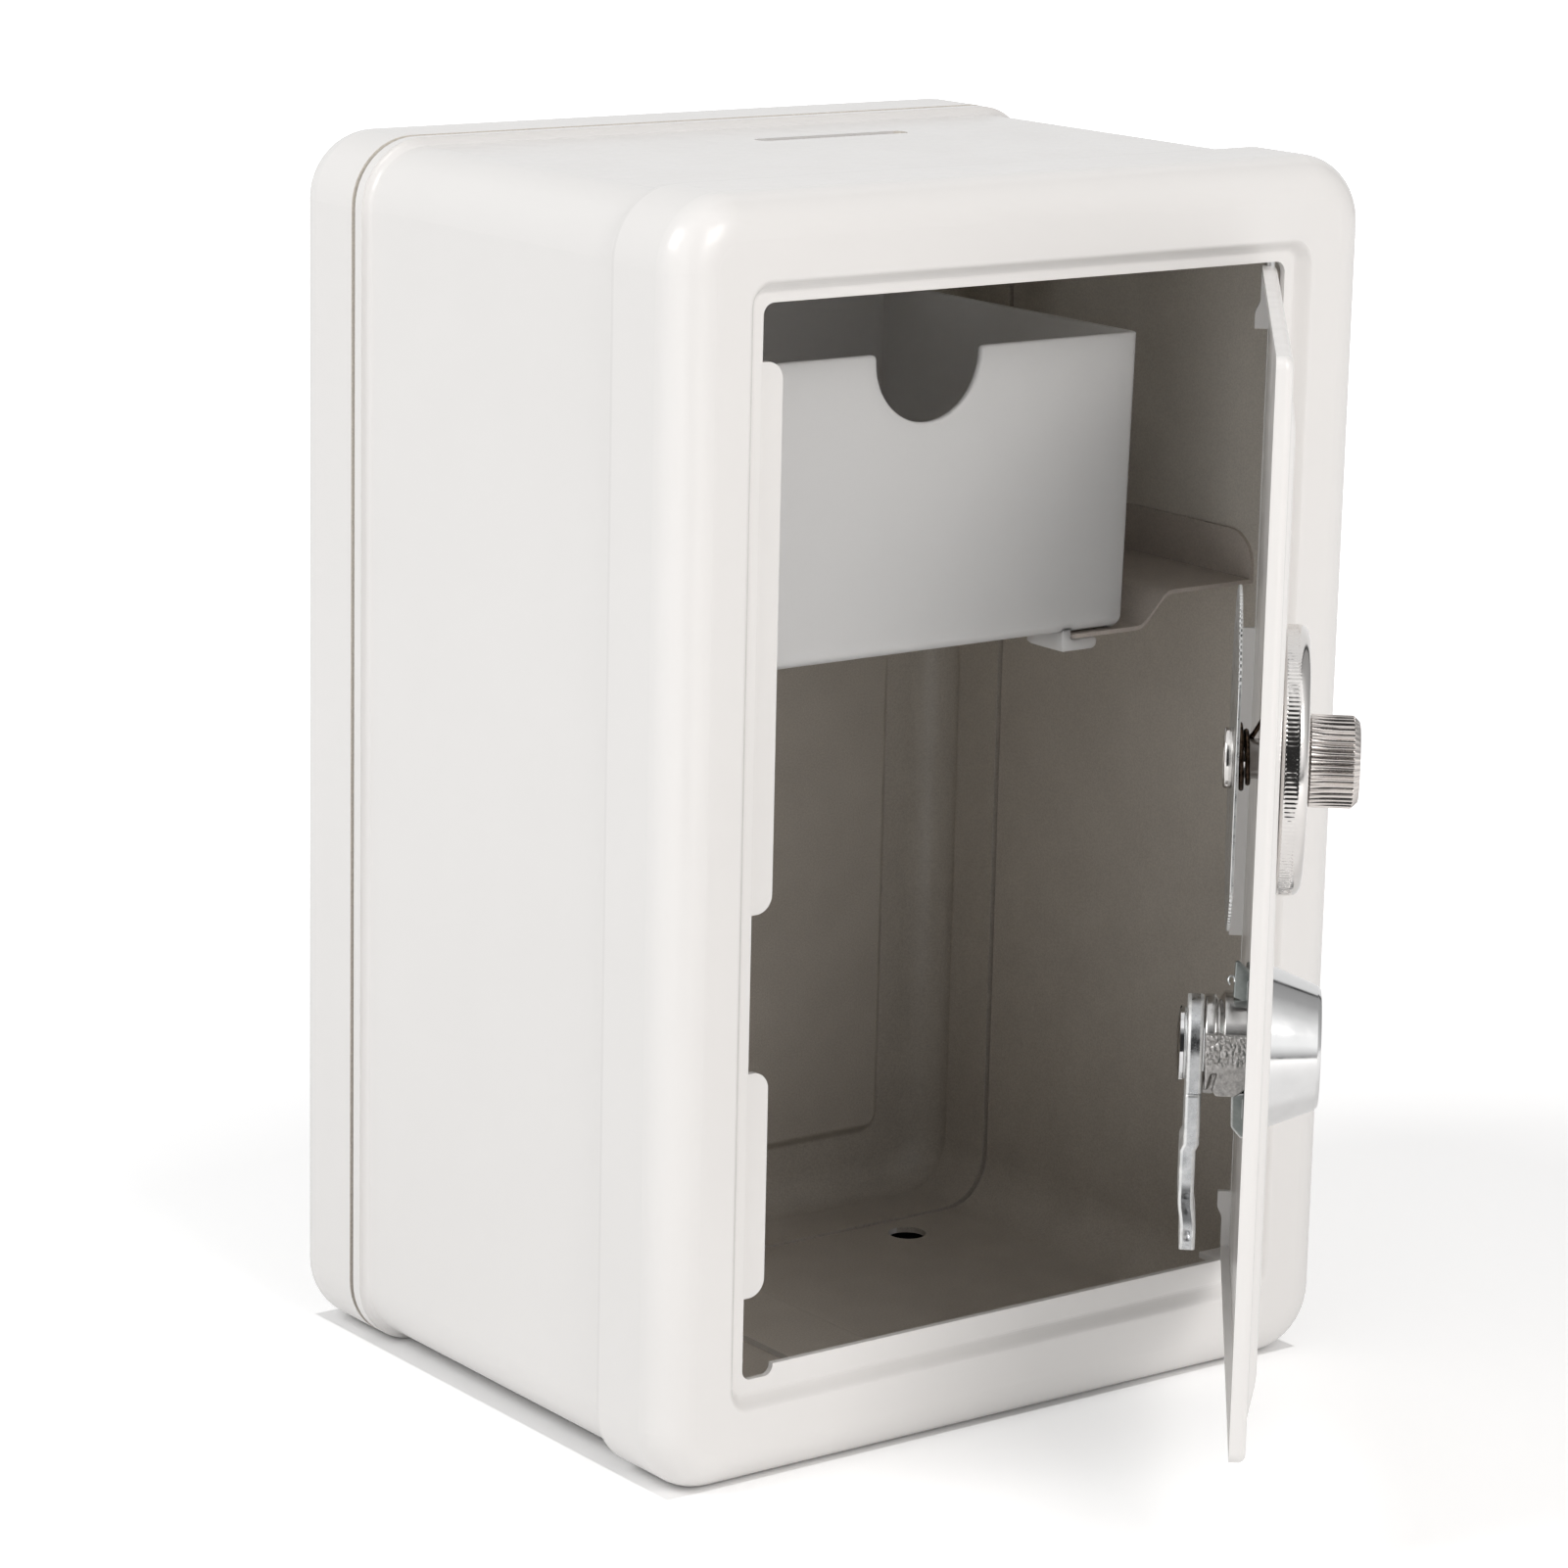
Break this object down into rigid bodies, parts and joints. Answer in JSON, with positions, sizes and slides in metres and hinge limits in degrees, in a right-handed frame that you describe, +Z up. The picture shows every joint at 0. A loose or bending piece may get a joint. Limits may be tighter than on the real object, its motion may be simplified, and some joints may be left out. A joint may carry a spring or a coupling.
{
  "type": "combination coin bank",
  "caption": "Small sheet steel safe-shaped coin bank with a hinged door, a dial lock, a key lock and a removable plastic coin tray on a shelf.",
  "frame": {"origin": "on the ground under the middle of the front frame: midway across the body, 8 mm behind its front face", "axes": "+Z up, +X to the right as seen from the front, +Y from the front to the back"},
  "size_m": [0.1216, 0.1623, 0.18],
  "materials": {
    "white_paint": "off-white powder coat, satin, with fine orange peel",
    "frosted_plastic": "frosted white polypropylene",
    "bright_chrome": "bright chrome plating",
    "plated_steel": "zinc plated pressed steel",
    "spring_steel": "oil tempered spring wire",
    "nylon": "natural nylon"
  },
  "bodies": {
    "root": {"front_frame": "white_paint", "body_sleeve": "white_paint", "back_cover": "white_paint", "shelf": "white_paint"},
    "tray": {"coin_tray": "frosted_plastic"},
    "door": {"door_panel": "white_paint", "hinge_pin_top": "plated_steel", "hinge_pin_bottom": "plated_steel", "dial_bush": "nylon", "dial_spring": "spring_steel", "lock_barrel": "bright_chrome", "lock_clip": "plated_steel"},
    "dial": {"dial": "bright_chrome", "dial_knob": "bright_chrome", "dial_spindle": "plated_steel", "locking_disc": "plated_steel", "disc_washer": "plated_steel"},
    "lock": {"lock_plug": "bright_chrome", "lock_cam": "plated_steel", "cam_washer": "plated_steel", "cam_screw": "plated_steel"}
  },
  "joints": [
    {"name": "door_hinge", "type": "hinge", "parent": "root", "child": "door", "pos_m": [0.0441, -0.0049, 0.0911], "axis": [0, 0, 1], "range_deg": [-49.5, 60]},
    {"name": "dial_turn", "type": "hinge", "parent": "door", "child": "dial", "pos_m": [0.00292, -0.05481, 0.1075], "axis": [0.7604, -0.6494, 0], "continuous": true},
    {"name": "key_turn", "type": "hinge", "parent": "door", "child": "lock", "pos_m": [0.00292, -0.05481, 0.068], "axis": [-0.7604, 0.6494, 0], "range_deg": [0, 90]},
    {"name": "tray_slide", "type": "slide", "parent": "root", "child": "tray", "axis": [0, -1, 0], "range_m": [0, 0.008]}
  ]
}
